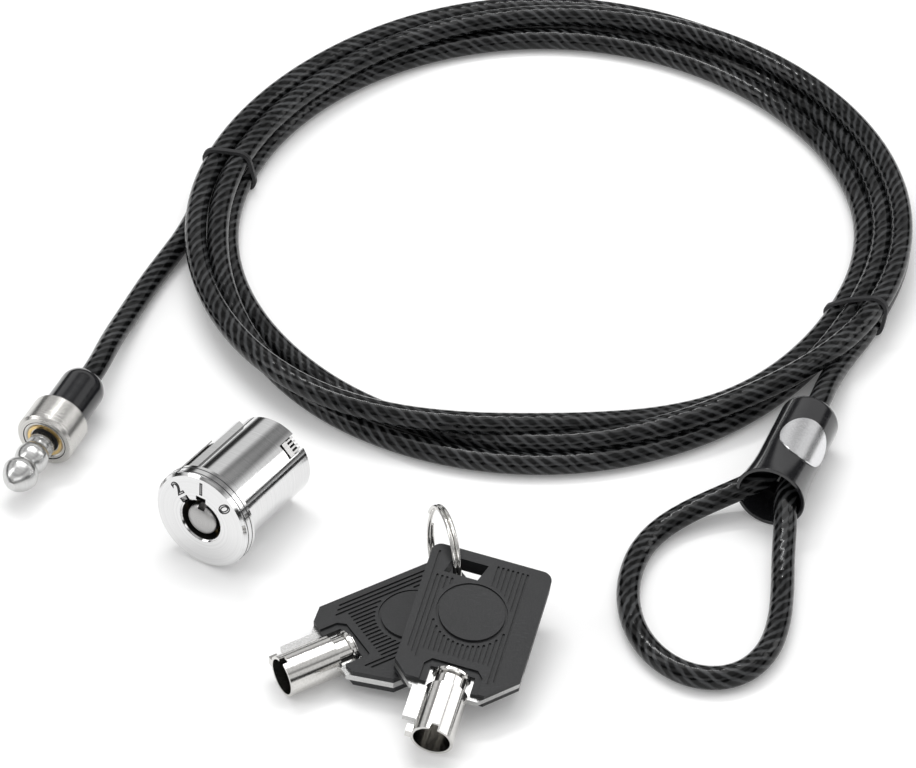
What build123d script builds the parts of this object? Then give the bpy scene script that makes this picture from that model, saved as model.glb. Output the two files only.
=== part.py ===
from build123d import *
from math import cos, exp, pi, radians, sin, tan
import os

# Laptop cable lock: a coiled cable with a swivelling locking pin, a tubular-key lock cylinder and
# two keys on a split ring. Millimetres, +Z up; everything lies on the plane z = 0.

os.makedirs("parts", exist_ok=True)

gap = 0.05  # running clearance between pieces that turn or slide

# ---- cable ---------------------------------------------------------------------------------
cable_radius = 2.25
cable_end_depth = 3.3  # how far the cable goes into the plug's boot and the ferrule's cover

coil_centre = (19.3, 65.1)
coil_outer_radius = 75.2
coil_inner_centre = (19.3, 63.9)
coil_width = 13.3
coil_inner_radius = coil_outer_radius - coil_width
coil_height = 4 * cable_radius
coil_edge_radius = 1.8
coil_dent = 3.9  # how far the coil is pulled in beside the ferrule
coil_dent_angle = -57.0
coil_dent_width = 26.0
coil_outline_points = 24
coil_exit_angle = -28.0  # where the cable leaves the coil for the ferrule
coil_exit_depth = 3.4
slab_spare = 12.0  # the slab that cuts out a band reaches this far past the coil

band_angles = {"band_left": 166.5, "band_right": -25.5}
band_width = 1.2
band_thickness = 0.7

# ---- plug ----------------------------------------------------------------------------------
plug_origin = (-84.2, -14.2, 6.0)  # middle of the front ball
plug_direction = (0.386, 0.922, 0.0)
ball_radius = 3.55
second_ball_radius = 3.3
second_ball_place = 4.9
nose_length = 3.8
neck_radius = 2.3
pin_shaft_radius = 2.0
pin_head_radius = 3.2
pin_head_thickness = 1.2
nose_tip_radius = 0.9
neck_start = 2.4  # where the front ball has narrowed to the neck
pin_step_start = 8.3
pin_step_end = 9.1
pin_step_height = 0.7
pin_head_room = 0.2  # round the head, so that the pin swivels
pin_end_room = 1.1
collar_front = 10.2
collar_back = 17.6
collar_radius = 6.0
collar_chamfer = 0.5
retainer_radius = 4.6
retainer_thickness = 0.9
retainer_place = 0.3  # behind the collar's front
retainer_lip = 0.2
retainer_lip_width = 0.6
retainer_lip_slope = 0.3
crimp_radius = cable_radius + 0.65
boot_radius = crimp_radius + 1.7
boot_back = 29.5
boot_dome = 3.2
boot_end_width = 1.9  # how much narrower the boot is at its end

# ---- ferrule -------------------------------------------------------------------------------
ferrule_top = (70.0, 2.4, 6.0)
ferrule_mouth = (60.4, -21.8, 7.0)
ferrule_radius = 2 * cable_radius + 1.4
skirt_radius = ferrule_radius + 1.05
skirt_start = 19.0
ferrule_wall = 0.8
ferrule_shoulder = 1.6
ferrule_shoulder_width = 1.0
skirt_lip = 2.0
skirt_lip_flare = 0.1
ferrule_lead_in = 5.0  # straight cable above the ferrule
loop_lead_in = 2.6
strand_gap = 0.1
crimp_length = 14.2
crimp_width = 4 * cable_radius + 0.8
crimp_height = 2 * cable_radius + 1.9
badge_start = 7.0
badge_length = 12.0
badge_thickness = 0.45
badge_span = 96.0  # degrees round the ferrule
badge_turn = 30.0  # degrees from the top, towards +X

# ---- lock ----------------------------------------------------------------------------------
lock_front = (-48.4, -32.2, 10.72)
lock_yaw = 57.4
lock_tilt = 4.9
lock_length = 24.4
flange_radius = 10.45
flange_thickness = 3.0
flange_chamfer = 0.5
body_radius = 8.6
rib_outer_radius = 9.7
rib_width = 6.5
rib_end = 21.5
rib_angle = 32.0  # from the lock's own sideways direction, towards its top
keyway_radius = 4.45
keyway_mouth_radius = 4.75
keyway_mouth_depth = 0.3
front_wall = 1.4
nib_groove_radius = 5.7
nib_groove_end = 3.6
nib_notch_width = 2.2
nib_notch_angles = (90.0, 45.0)
main_bore_start = 5.4
main_bore_radius = 6.4
window_angle = 132.0
window_width = 3.3
window_start = 19.8

post_radius = 3.3
post_front = 0.3
post_notch = 1.5
post_notch_depth = 1.2
post_rounding = 0.6
spindle_disc_thickness = 2.6
spindle_shaft_radius = 2.5
tenon_radius = 1.9
pin_count = 7
pin_pitch_radius = 3.9
pin_radius = 0.5
pin_front = 2.8
sleeve_length = 4.9
driver_length = 1.9
spring_outer_radius = 0.5
spring_inner_radius = 0.3
spring_length = 2.2
cross_pin_radius = 0.7
cross_pin_offset = 0.6  # behind the middle of the sleeve
sleeve_inner_wall = 0.6
cross_pin_depth = 0.3  # below the housing's surface
cup_floor = 1.1
cup_bore_radius = 4.6
cup_end = 20.2
cam_pin_radius = 0.45
cam_pin_place = 4.9
cam_pin_length = 1.4
cam_slot_clearance = 0.12
screw_radius = 0.9
screw_head_radius = 1.7
screw_head_height = 0.8
screw_length = 3.2
latch_thickness = 1.3
latch_clearance = 0.1
latch_neck = 4.0  # how far inside the housing's surface the latch's tongue starts
latch_travel = 0.5
latch_turn = 45.0  # spindle turn that moves the latch by its travel
socket_radius = 3.7
cap_start = 21.8
cap_lead_in = 0.3
cap_edge = 0.4
blade_thickness = 0.25
blade_length = 11.0
blade_width = 4.2

# ---- keys ----------------------------------------------------------------------------------
head_left = -10.9
head_right = 12.4
head_bottom = -17.0
head_top = 13.5
head_thickness = 3.6
head_corner_radius = 2.0
small_chamfer = 2.8
large_chamfer = 5.5
disc_radius = 6.2
disc_height = 0.25
slot_centre = (-3.6, 9.4)
slot_size = (6.6, 3.8)
slot_slant = 1.2
barrel_radius = 4.05
barrel_bore_radius = 3.5
barrel_mouth = -28.2
barrel_bore_depth = 8.6
barrel_shoulder = -17.6
barrel_neck_radius = 3.1
barrel_root = -13.4
steel_thickness = 1.3
steel_margin = 1.0
steel_top = -8.5
fin_width = 2.2
fin_length = 7.0
nib_size = (1.0, 1.6, 1.8)
mouth_notch_size = (1.5, 1.2)
nib_overlap = 0.3
fin_overlap = 0.2
head_pocket_room = 0.2

key_poses = {
    "key_1": {"place": (-7.7, -52.9, 4.3), "yaw": 59.9, "tilt": 0.3, "roll": 0.0},
    "key_2": {"place": (2.9, -56.9, 9.2), "yaw": 15.1, "tilt": 8.9, "roll": 8.4},
}

ring_centre = (-2.25, -39.15, 9.5)
ring_normal = (0.952, 0.298, -0.075)
ring_radius = 8.5
ring_wire_width = 1.0
ring_width = 1.7
ring_corner = 0.35


# ---- helpers -------------------------------------------------------------------------------
def keep(piece, label):
    piece.part.label = label
    export_step(piece.part, f"parts/{label}.step")


def facing(origin, direction):
    # A plane whose z runs along the direction, with its y as near to upright as that allows.
    along = Vector(direction).normalized()
    return Plane(origin=origin, x_dir=Vector(0, 0, 1).cross(along), z_dir=along)


def along(frame, distance):
    return frame.from_local_coords(Vector(0, 0, distance))


def side_of(frame):
    # The plane for turned profiles: its x is the radius and its y the frame's own axis.
    return Plane(origin=frame.origin, x_dir=frame.x_dir, z_dir=-frame.y_dir)


def axis_of(frame):
    return Axis(frame.origin, frame.z_dir)


def spun(frame, x_angle=0, y_angle=0, z_angle=0):
    # The frame turned about its own axes, its origin where it was.
    return Plane(frame.location * Rotation(x_angle, y_angle, z_angle))


def turned(frame, outline):
    # A turned solid from (radius, height) pairs, given in order round the half section.
    with BuildPart() as piece:
        with BuildSketch(side_of(frame)):
            with BuildLine():
                Polyline(*outline, close=True)
            make_face()
        revolve(axis=axis_of(frame))
    return piece


def polar(radius, angle):
    return (radius * cos(radians(angle)), radius * sin(radians(angle)))


# ---- cable ---------------------------------------------------------------------------------
def corner_radii(points):
    # Each corner is as round as its two runs allow.
    vectors = [Vector(point) for point in points]
    radii = []
    for before, corner, after in zip(vectors, vectors[1:], vectors[2:]):
        arriving = corner - before
        leaving = after - corner
        turn = radians(arriving.get_angle(leaving))
        radii.append(0.45 * min(arriving.length, leaving.length) / tan(turn / 2))
    return radii


def cable_tube(label, points):
    radii = corner_radii(points)
    with BuildPart() as piece:
        with BuildLine() as route:
            FilletPolyline(*points, radius=radii)
        path = route.wire()
        with BuildSketch(Plane(origin=path @ 0, z_dir=path % 0)):
            Circle(cable_radius)
        sweep(path=path)
    share = piece.part.volume / (pi * cable_radius**2 * path.length)
    print(label, "length", round(path.length, 1), "volume share of section x length", round(share, 4))
    print(label, "radii", [round(radius, 1) for radius in radii])
    keep(piece, label)
    return piece


plug_frame = facing(plug_origin, plug_direction)
ferrule_direction = Vector(ferrule_mouth) - Vector(ferrule_top)
ferrule_length = ferrule_direction.length
ferrule_frame = facing(ferrule_top, ferrule_direction)
crimp_end = cable_end_depth + crimp_length
strand_offset = cable_radius + strand_gap

coil_west = coil_centre[0] - coil_outer_radius
exit_x, exit_y = polar(coil_outer_radius - coil_exit_depth, coil_exit_angle)

plug_route = [
    along(plug_frame, boot_back - cable_end_depth),
    along(plug_frame, boot_back + 4.3),
    (-69.3, 26.6, 4.2),
    (-66.1, 37.2, 2.6),
    (-62.6, 47.0, cable_radius),
    (coil_west - 3.0, 55.2, cable_radius),
    (coil_west + 0.3, 62.6, cable_radius),
    (coil_west + 2.5, 69.6, cable_radius),
]
ferrule_route = [
    (coil_centre[0] + exit_x, coil_centre[1] + exit_y, cable_radius),
    (79.0, 25.3, 2.6),
    (75.9, 18.9, 3.5),
    (73.5, 12.5, 4.8),
    along(ferrule_frame, -ferrule_lead_in),
    along(ferrule_frame, cable_end_depth),
]
loop_route = [
    ferrule_frame.from_local_coords(Vector(-strand_offset, 0, crimp_end)),
    ferrule_frame.from_local_coords(Vector(-strand_offset, 0, crimp_end + loop_lead_in)),
    (56.8, -17.2, 6.0),
    (51.2, -19.0, 4.4),
    (45.3, -21.5, 3.2),
    (39.7, -25.3, 2.4),
    (35.4, -31.1, cable_radius),
    (33.0, -38.6, cable_radius),
    (32.5, -46.4, cable_radius),
    (34.0, -54.0, cable_radius),
    (37.6, -60.4, cable_radius),
    (42.7, -64.6, cable_radius),
    (48.7, -65.9, cable_radius),
    (54.4, -63.7, cable_radius),
    (58.7, -58.2, cable_radius),
    (61.0, -50.6, cable_radius),
    (62.0, -42.2, 2.4),
    (62.5, -33.8, 3.2),
    (63.3, -26.6, 4.9),
    ferrule_frame.from_local_coords(Vector(strand_offset, 0, ferrule_length - skirt_lip)),
    ferrule_frame.from_local_coords(Vector(strand_offset, 0, crimp_end)),
]

cable_tail_plug = cable_tube("cable_tail_plug", plug_route)
cable_tail_loop = cable_tube("cable_tail_loop", ferrule_route)
cable_loop = cable_tube("cable_loop", loop_route)


def coil_edge(centre, radius):
    # The coil is round, apart from the dent beside the ferrule.
    points = []
    for step in range(coil_outline_points):
        angle = -180 + 360 * step / coil_outline_points
        dent = coil_dent * exp(-(((angle - coil_dent_angle) / coil_dent_width) ** 2))
        x, y = polar(radius - dent, angle)
        points.append((centre[0] + x, centre[1] + y))
    return points


def coil_section(shrink):
    # The coil's ring, with its whole surface moved inwards by the given amount.
    with BuildPart() as piece:
        with BuildSketch(Plane.XY.offset(shrink)):
            with BuildLine():
                Spline(*coil_edge(coil_centre, coil_outer_radius - shrink), periodic=True)
            make_face()
            with BuildLine():
                Spline(*coil_edge(coil_inner_centre, coil_inner_radius + shrink), periodic=True)
            make_face(mode=Mode.SUBTRACT)
        extrude(amount=coil_height - 2 * shrink)
        fillet(piece.edges(), radius=coil_edge_radius - shrink / 2)
    return piece


def band_slab(angle):
    x, y = polar(1, angle)
    slab_size = coil_outer_radius - coil_inner_radius + slab_spare
    middle = (coil_outer_radius + coil_inner_radius) / 2
    slab_middle = (coil_centre[0] + middle * x, coil_centre[1] + middle * y, 0)
    place = Plane(origin=slab_middle, x_dir=(x, y, 0), z_dir=(0, 0, 1))
    with BuildPart() as piece:
        with BuildSketch(place):
            Rectangle(slab_size, band_width)
        extrude(amount=coil_height)
    return piece


coil_shape = coil_section(0)
coil_core = coil_section(band_thickness)
bands = {}
for label, angle in band_angles.items():
    with BuildPart() as band:
        add(coil_shape.part)
        add(coil_core.part, mode=Mode.SUBTRACT)
        add(band_slab(angle).part, mode=Mode.INTERSECT)
    keep(band, label)
    bands[label] = band

with BuildPart() as cable_coil:
    add(coil_shape.part)
    for band in bands.values():
        add(band.part, mode=Mode.SUBTRACT)
keep(cable_coil, "cable_coil")

# ---- plug ----------------------------------------------------------------------------------
retainer_start = collar_front + retainer_place
retainer_end = retainer_start + retainer_thickness
pin_head_start = retainer_end + gap
pin_head_end = pin_head_start + pin_head_thickness
collar_cavity_end = pin_head_end + pin_end_room

with BuildPart() as locking_pin:
    with BuildSketch(side_of(plug_frame)):
        with BuildLine():
            Line((0, -nose_length), (nose_tip_radius, -nose_length))
            ThreePointArc((nose_tip_radius, -nose_length), (2.85, -2.0), (ball_radius, 0))
            ThreePointArc((ball_radius, 0), (3.15, 1.5), (neck_radius, neck_start))
            ThreePointArc(
                (neck_radius, neck_start),
                (second_ball_radius, second_ball_place),
                (neck_radius, 2 * second_ball_place - neck_start),
            )
            Polyline(
                (neck_radius, 2 * second_ball_place - neck_start),
                (neck_radius, pin_step_start),
                (pin_shaft_radius + pin_step_height, pin_step_start),
                (pin_shaft_radius + pin_step_height, pin_step_end),
                (pin_shaft_radius, pin_step_end),
                (pin_shaft_radius, pin_head_start),
                (pin_head_radius, pin_head_start),
                (pin_head_radius, pin_head_end),
                (0, pin_head_end),
                (0, -nose_length),
            )
        make_face()
    revolve(axis=axis_of(plug_frame))
keep(locking_pin, "locking_pin")

pin_retainer = turned(
    plug_frame,
    [
        (pin_shaft_radius + gap, retainer_start),
        (retainer_radius - retainer_lip_width - retainer_lip_slope, retainer_start),
        (retainer_radius - retainer_lip_width, retainer_start - retainer_lip),
        (retainer_radius, retainer_start - retainer_lip),
        (retainer_radius, retainer_end),
        (pin_shaft_radius + gap, retainer_end),
    ],
)
keep(pin_retainer, "pin_retainer")

plug_collar = turned(
    plug_frame,
    [
        (retainer_radius, collar_front),
        (collar_radius - collar_chamfer, collar_front),
        (collar_radius, collar_front + collar_chamfer),
        (collar_radius, collar_back - collar_chamfer),
        (collar_radius - collar_chamfer, collar_back),
        (crimp_radius, collar_back),
        (crimp_radius, collar_cavity_end),
        (pin_head_radius + pin_head_room, collar_cavity_end),
        (pin_head_radius + pin_head_room, retainer_end),
        (retainer_radius, retainer_end),
    ],
)
keep(plug_collar, "plug_collar")

crimp_back = boot_back - cable_end_depth
plug_crimp = turned(
    plug_frame,
    [
        (0, collar_cavity_end),
        (crimp_radius, collar_cavity_end),
        (crimp_radius, crimp_back),
        (0, crimp_back),
    ],
)
keep(plug_crimp, "plug_crimp")

with BuildPart() as plug_boot:
    with BuildSketch(side_of(plug_frame)):
        with BuildLine():
            Polyline(
                (crimp_radius, crimp_back),
                (crimp_radius, collar_back),
                (boot_radius, collar_back),
                (boot_radius, boot_back - boot_dome),
            )
            ThreePointArc(
                (boot_radius, boot_back - boot_dome),
                (boot_radius - 0.75, boot_back - 0.95),
                (boot_radius - boot_end_width, boot_back),
            )
            Polyline(
                (boot_radius - boot_end_width, boot_back),
                (cable_radius, boot_back),
                (cable_radius, crimp_back),
                (crimp_radius, crimp_back),
            )
        make_face()
    revolve(axis=axis_of(plug_frame))
keep(plug_boot, "plug_boot")

# ---- ferrule -------------------------------------------------------------------------------
crimp_room = ferrule_radius - ferrule_wall
ferrule_shell = turned(
    ferrule_frame,
    [
        (cable_radius, 0),
        (ferrule_radius - ferrule_shoulder_width, 0),
        (ferrule_radius, ferrule_shoulder),
        (ferrule_radius, skirt_start),
        (skirt_radius - skirt_lip_flare, ferrule_length - skirt_lip),
        (skirt_radius, ferrule_length),
        (skirt_radius - ferrule_wall, ferrule_length),
        (crimp_room, skirt_start - 0.5),
        (crimp_room, cable_end_depth),
        (cable_radius, cable_end_depth),
    ],
)
with BuildPart() as ferrule_cover:
    add(ferrule_shell.part)
    add(cable_loop.part, mode=Mode.SUBTRACT)
keep(ferrule_cover, "ferrule_cover")

with BuildPart() as ferrule_crimp:
    with BuildSketch(ferrule_frame.offset(cable_end_depth)):
        SlotOverall(crimp_width, crimp_height)
    extrude(amount=crimp_length)
keep(ferrule_crimp, "ferrule_crimp")

badge_start_angle = 90 - badge_turn - badge_span / 2
badge_frame = spun(ferrule_frame, z_angle=badge_start_angle)
with BuildPart() as ferrule_badge:
    with BuildSketch(side_of(badge_frame)):
        with Locations((ferrule_radius + badge_thickness / 2, badge_start + badge_length / 2)):
            RectangleRounded(badge_thickness, badge_length, badge_thickness / 3)
    revolve(axis=axis_of(badge_frame), revolution_arc=badge_span)
keep(ferrule_badge, "ferrule_badge")

# ---- lock ----------------------------------------------------------------------------------
lock_direction = (
    cos(radians(lock_tilt)) * cos(radians(lock_yaw)),
    cos(radians(lock_tilt)) * sin(radians(lock_yaw)),
    -sin(radians(lock_tilt)),
)
lock_frame = facing(lock_front, lock_direction)


def lock_plane(height):
    return lock_frame.offset(height)


disc_start = main_bore_start + gap
shear_line = disc_start + spindle_disc_thickness
sleeve_start = shear_line + gap
sleeve_end = sleeve_start + sleeve_length
pin_hole_radius = pin_radius + gap
driver_end = sleeve_start + driver_length
spring_end = driver_end + spring_length
cross_pin_place = (sleeve_start + sleeve_end) / 2 + cross_pin_offset
cup_start = sleeve_end + gap

with BuildPart() as lock_housing:
    with BuildSketch(lock_plane(0)):
        Circle(flange_radius)
    extrude(amount=flange_thickness)
    chamfer(lock_housing.edges().sort_by(axis_of(lock_frame))[0], length=flange_chamfer)
    with BuildSketch(lock_plane(flange_thickness)):
        Circle(body_radius)
    extrude(amount=lock_length - flange_thickness)
    with BuildSketch(lock_plane(flange_thickness)):
        with PolarLocations(rib_outer_radius / 2, 1, start_angle=rib_angle):
            Rectangle(rib_outer_radius, rib_width)
        Circle(rib_outer_radius, mode=Mode.INTERSECT)
    extrude(amount=rib_end - flange_thickness)
    with BuildSketch(lock_plane(0)):
        Circle(keyway_mouth_radius)
    extrude(amount=keyway_mouth_depth, mode=Mode.SUBTRACT)
    with BuildSketch(lock_plane(0)):
        Circle(keyway_radius)
        for angle in nib_notch_angles:
            with PolarLocations(nib_groove_radius / 2, 1, start_angle=angle):
                Rectangle(nib_groove_radius, nib_notch_width)
    extrude(amount=front_wall, mode=Mode.SUBTRACT)
    with BuildSketch(lock_plane(front_wall)):
        Circle(nib_groove_radius)
    extrude(amount=nib_groove_end - front_wall, mode=Mode.SUBTRACT)
    with BuildSketch(lock_plane(nib_groove_end)):
        Circle(keyway_radius)
    extrude(amount=main_bore_start - nib_groove_end, mode=Mode.SUBTRACT)
    with BuildSketch(lock_plane(main_bore_start)):
        Circle(main_bore_radius)
    extrude(amount=lock_length - main_bore_start, mode=Mode.SUBTRACT)
    with BuildSketch(lock_plane(window_start)):
        with PolarLocations(body_radius, 1, start_angle=window_angle):
            Rectangle(body_radius, window_width)
    extrude(amount=lock_length - window_start, mode=Mode.SUBTRACT)
    with BuildSketch(Plane(origin=along(lock_frame, cross_pin_place), z_dir=-lock_frame.y_dir)):
        Circle(cross_pin_radius)
    extrude(amount=body_radius + 1, mode=Mode.SUBTRACT)
keep(lock_housing, "lock_housing")

with BuildPart() as lock_spindle:
    with BuildSketch(lock_plane(post_front)):
        Circle(post_radius)
    extrude(amount=disc_start - post_front)
    fillet(lock_spindle.edges().sort_by(axis_of(lock_frame))[0], radius=post_rounding)
    with BuildSketch(lock_plane(post_front)):
        with Locations((0, post_radius)):
            Rectangle(post_notch, post_notch)
    extrude(amount=post_notch_depth, mode=Mode.SUBTRACT)
    with BuildSketch(lock_plane(disc_start)):
        Circle(main_bore_radius - gap)
    extrude(amount=spindle_disc_thickness)
    with BuildSketch(lock_plane(disc_start)):
        with PolarLocations(pin_pitch_radius, pin_count, start_angle=90):
            Circle(pin_hole_radius)
    extrude(amount=spindle_disc_thickness, mode=Mode.SUBTRACT)
    with BuildSketch(lock_plane(shear_line)):
        Circle(spindle_shaft_radius)
    extrude(amount=cup_start - shear_line)
    with BuildSketch(lock_plane(cup_start)):
        Circle(tenon_radius)
    extrude(amount=cup_floor)
    with BuildSketch(lock_plane(cup_start + cup_floor)):
        Circle(screw_radius)
    extrude(amount=-screw_length, mode=Mode.SUBTRACT)
keep(lock_spindle, "lock_spindle")

with BuildPart() as pin_sleeve:
    with BuildSketch(lock_plane(sleeve_start)):
        Circle(main_bore_radius)
        Circle(spindle_shaft_radius + gap, mode=Mode.SUBTRACT)
    extrude(amount=sleeve_length)
    with BuildSketch(lock_plane(sleeve_start)):
        with PolarLocations(pin_pitch_radius, pin_count, start_angle=90):
            Circle(pin_hole_radius)
    extrude(amount=spring_end - sleeve_start, mode=Mode.SUBTRACT)
    with BuildSketch(Plane(origin=along(lock_frame, cross_pin_place), z_dir=-lock_frame.y_dir)):
        Circle(cross_pin_radius)
    extrude(amount=body_radius, mode=Mode.SUBTRACT)
    with BuildSketch(lock_plane(sleeve_start)):
        Circle(pin_pitch_radius + pin_hole_radius + sleeve_inner_wall)
        Circle(spindle_shaft_radius + gap, mode=Mode.SUBTRACT)
        with PolarLocations(pin_pitch_radius, pin_count, start_angle=90):
            Circle(pin_hole_radius, mode=Mode.SUBTRACT)
    extrude(amount=sleeve_length)
keep(pin_sleeve, "pin_sleeve")

with BuildPart() as key_pins:
    with BuildSketch(lock_plane(pin_front)):
        with PolarLocations(pin_pitch_radius, pin_count, start_angle=90):
            Circle(pin_radius)
    extrude(amount=shear_line - pin_front)
keep(key_pins, "key_pins")

with BuildPart() as driver_pins:
    with BuildSketch(lock_plane(sleeve_start)):
        with PolarLocations(pin_pitch_radius, pin_count, start_angle=90):
            Circle(pin_radius)
    extrude(amount=driver_length)
keep(driver_pins, "driver_pins")

with BuildPart() as pin_springs:
    with BuildSketch(lock_plane(driver_end)):
        with PolarLocations(pin_pitch_radius, pin_count, start_angle=90):
            Circle(spring_outer_radius)
            Circle(spring_inner_radius, mode=Mode.SUBTRACT)
    extrude(amount=spring_end - driver_end)
keep(pin_springs, "pin_springs")

cross_pin_inner = pin_pitch_radius + pin_hole_radius + sleeve_inner_wall
with BuildPart() as sleeve_pin:
    with BuildSketch(
        Plane(
            origin=along(lock_frame, cross_pin_place) - lock_frame.y_dir * cross_pin_inner,
            z_dir=-lock_frame.y_dir,
        )
    ):
        Circle(cross_pin_radius)
    extrude(amount=body_radius - cross_pin_inner - cross_pin_depth)
keep(sleeve_pin, "sleeve_pin")

cup_wall_start = cup_start + cup_floor
cam_pin_angle = window_angle + 180
with BuildPart() as cam_cup:
    with BuildSketch(lock_plane(cup_start)):
        Circle(main_bore_radius - gap)
        Circle(tenon_radius, mode=Mode.SUBTRACT)
    extrude(amount=cup_floor)
    with BuildSketch(lock_plane(cup_wall_start)):
        Circle(main_bore_radius - gap)
        Circle(cup_bore_radius, mode=Mode.SUBTRACT)
    extrude(amount=cup_end - cup_wall_start)
    with BuildSketch(lock_plane(cup_end)):
        with PolarLocations(cam_pin_place, 1, start_angle=cam_pin_angle):
            Circle(cam_pin_radius)
    extrude(amount=cam_pin_length)
keep(cam_cup, "cam_cup")

cam_screw = turned(
    lock_frame,
    [
        (0, cup_wall_start - screw_length),
        (screw_radius, cup_wall_start - screw_length),
        (screw_radius, cup_wall_start),
        (screw_head_radius, cup_wall_start),
        (screw_head_radius, cup_wall_start + screw_head_height),
        (0, cup_wall_start + screw_head_height),
    ],
)
keep(cam_screw, "cam_screw")


def cam_path(turn):
    # Where the cam pin stands on the latch plate, which moves while the spindle turns.
    shift = -latch_travel * turn / latch_turn
    pin_x, pin_y = polar(cam_pin_place, cam_pin_angle + turn)
    shift_x, shift_y = polar(shift, window_angle)
    return (pin_x - shift_x, pin_y - shift_y)


latch_start = cup_end + latch_clearance
latch_reach = main_bore_radius - gap
travel_x, travel_y = polar(latch_travel, window_angle)
slot_line = ThreePointArc(cam_path(-latch_turn - 1), cam_path(0), cam_path(latch_turn + 1))
with BuildPart() as latch_plate:
    with BuildSketch(lock_plane(latch_start)):
        with Locations((travel_x, travel_y)):
            Circle(latch_reach)
        with Locations((-travel_x, -travel_y)):
            Circle(latch_reach, mode=Mode.INTERSECT)
        with PolarLocations((body_radius + latch_neck) / 2, 1, start_angle=window_angle):
            Rectangle(body_radius - latch_neck, window_width - 4 * gap)
    extrude(amount=latch_thickness)
    with BuildSketch(lock_plane(latch_start)):
        with Locations((travel_x, travel_y)):
            Circle(socket_radius)
    extrude(amount=latch_thickness, mode=Mode.SUBTRACT)
    with BuildSketch(lock_plane(latch_start)):
        SlotArc(slot_line, 2 * (cam_pin_radius + cam_slot_clearance))
    extrude(amount=latch_thickness, both=True, mode=Mode.SUBTRACT)
keep(latch_plate, "latch_plate")

rear_cap = turned(
    lock_frame,
    [
        (socket_radius + cap_lead_in, lock_length),
        (socket_radius, lock_length - cap_lead_in),
        (socket_radius, cap_start),
        (main_bore_radius, cap_start),
        (main_bore_radius, lock_length - cap_edge),
        (main_bore_radius - cap_edge, lock_length),
    ],
)
keep(rear_cap, "rear_cap")

with BuildPart() as side_blade:
    with BuildSketch(lock_plane(flange_thickness)):
        with PolarLocations(rib_outer_radius + blade_thickness / 2, 1, start_angle=rib_angle):
            Rectangle(blade_thickness, blade_width)
    extrude(amount=blade_length)
keep(side_blade, "side_blade")


# ---- keys ----------------------------------------------------------------------------------
def key_frame(pose):
    # x across the head, y from the barrel's mouth to the ring end, z out of the head's face.
    level = spun(Plane(origin=pose["place"]), z_angle=-pose["yaw"])
    return spun(level, x_angle=pose["tilt"], y_angle=pose["roll"])


def head_outline(margin):
    # The head's outline, moved outwards by the margin below and beside its lower corners.
    left = head_left
    right = head_right
    bottom = head_bottom - margin
    return [
        (left, head_top),
        (left, bottom + small_chamfer + margin),
        (left + small_chamfer + margin, bottom),
        (right - large_chamfer - margin, bottom),
        (right, bottom + large_chamfer + margin),
        (right, head_top),
    ]


def key_barrel(frame):
    mouth_middle = frame.from_local_coords(Vector(0, barrel_mouth, 0))
    mouth = Plane(origin=mouth_middle, x_dir=frame.x_dir, z_dir=frame.y_dir)
    with BuildPart() as piece:
        with BuildSketch(mouth):
            Circle(barrel_radius)
        extrude(amount=barrel_shoulder - barrel_mouth)
        with BuildSketch(mouth):
            Circle(barrel_bore_radius)
        extrude(amount=barrel_bore_depth, mode=Mode.SUBTRACT)
        with BuildSketch(mouth.offset(barrel_shoulder - barrel_mouth)):
            Circle(barrel_neck_radius)
        extrude(amount=barrel_root - barrel_shoulder)
        nib_across, nib_along, nib_high = nib_size
        with BuildSketch(mouth):
            with Locations((-barrel_radius - nib_across / 2 + nib_overlap, 0)):
                Rectangle(nib_across + 2 * nib_overlap, nib_high)
            Circle(barrel_bore_radius, mode=Mode.SUBTRACT)
        extrude(amount=nib_along)
        notch_width, notch_depth = mouth_notch_size
        with BuildSketch(mouth):
            with Locations((0, -barrel_radius)):
                Rectangle(notch_width, barrel_radius)
        extrude(amount=notch_depth, mode=Mode.SUBTRACT)
    return piece


def key_blade(frame, barrel):
    middle = frame.offset(-steel_thickness / 2)
    with BuildPart() as piece:
        with BuildSketch(middle):
            with BuildLine():
                Polyline(*head_outline(steel_margin), close=True)
            make_face()
            with Locations((0, head_top)):
                Rectangle(4 * head_right, 2 * (head_top - steel_top), mode=Mode.SUBTRACT)
            with Locations((-barrel_radius - fin_width / 2, head_bottom - (fin_length + steel_margin) / 2)):
                Rectangle(fin_width + 2 * fin_overlap, fin_length + steel_margin)
            with Locations((0, (barrel_root + barrel_mouth) / 2)):
                Rectangle(2 * barrel_neck_radius, barrel_root - barrel_mouth, mode=Mode.SUBTRACT)
        extrude(amount=steel_thickness)
        add(barrel.part, mode=Mode.SUBTRACT)
    return piece


def key_head(frame, blade, barrel):
    slot_x, slot_y = slot_centre
    half_wide = slot_size[0] / 2
    half_high = slot_size[1] / 2
    pocket_width = 2 * (barrel_radius + head_pocket_room)
    back = spun(frame, x_angle=180)
    with BuildPart() as piece:
        with BuildSketch(frame.offset(-head_thickness / 2)) as outline:
            with BuildLine():
                Polyline(*head_outline(0), close=True)
            make_face()
            fillet(outline.vertices().group_by(Axis.Y)[-1], radius=head_corner_radius)
            with BuildLine():
                Polyline(
                    (slot_x - half_wide - slot_slant / 2, slot_y - half_high),
                    (slot_x + half_wide - slot_slant / 2, slot_y - half_high),
                    (slot_x + half_wide + slot_slant / 2, slot_y + half_high),
                    (slot_x - half_wide + slot_slant / 2, slot_y + half_high),
                    close=True,
                )
            make_face(mode=Mode.SUBTRACT)
            with Locations((0, head_bottom)):
                Rectangle(pocket_width, 2 * (barrel_root - head_bottom), mode=Mode.SUBTRACT)
        extrude(amount=head_thickness)
        with BuildSketch(frame.offset(head_thickness / 2), back.offset(head_thickness / 2)):
            Circle(disc_radius)
        extrude(amount=disc_height)
        add(blade.part, mode=Mode.SUBTRACT)
        add(barrel.part, mode=Mode.SUBTRACT)
    return piece


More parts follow.
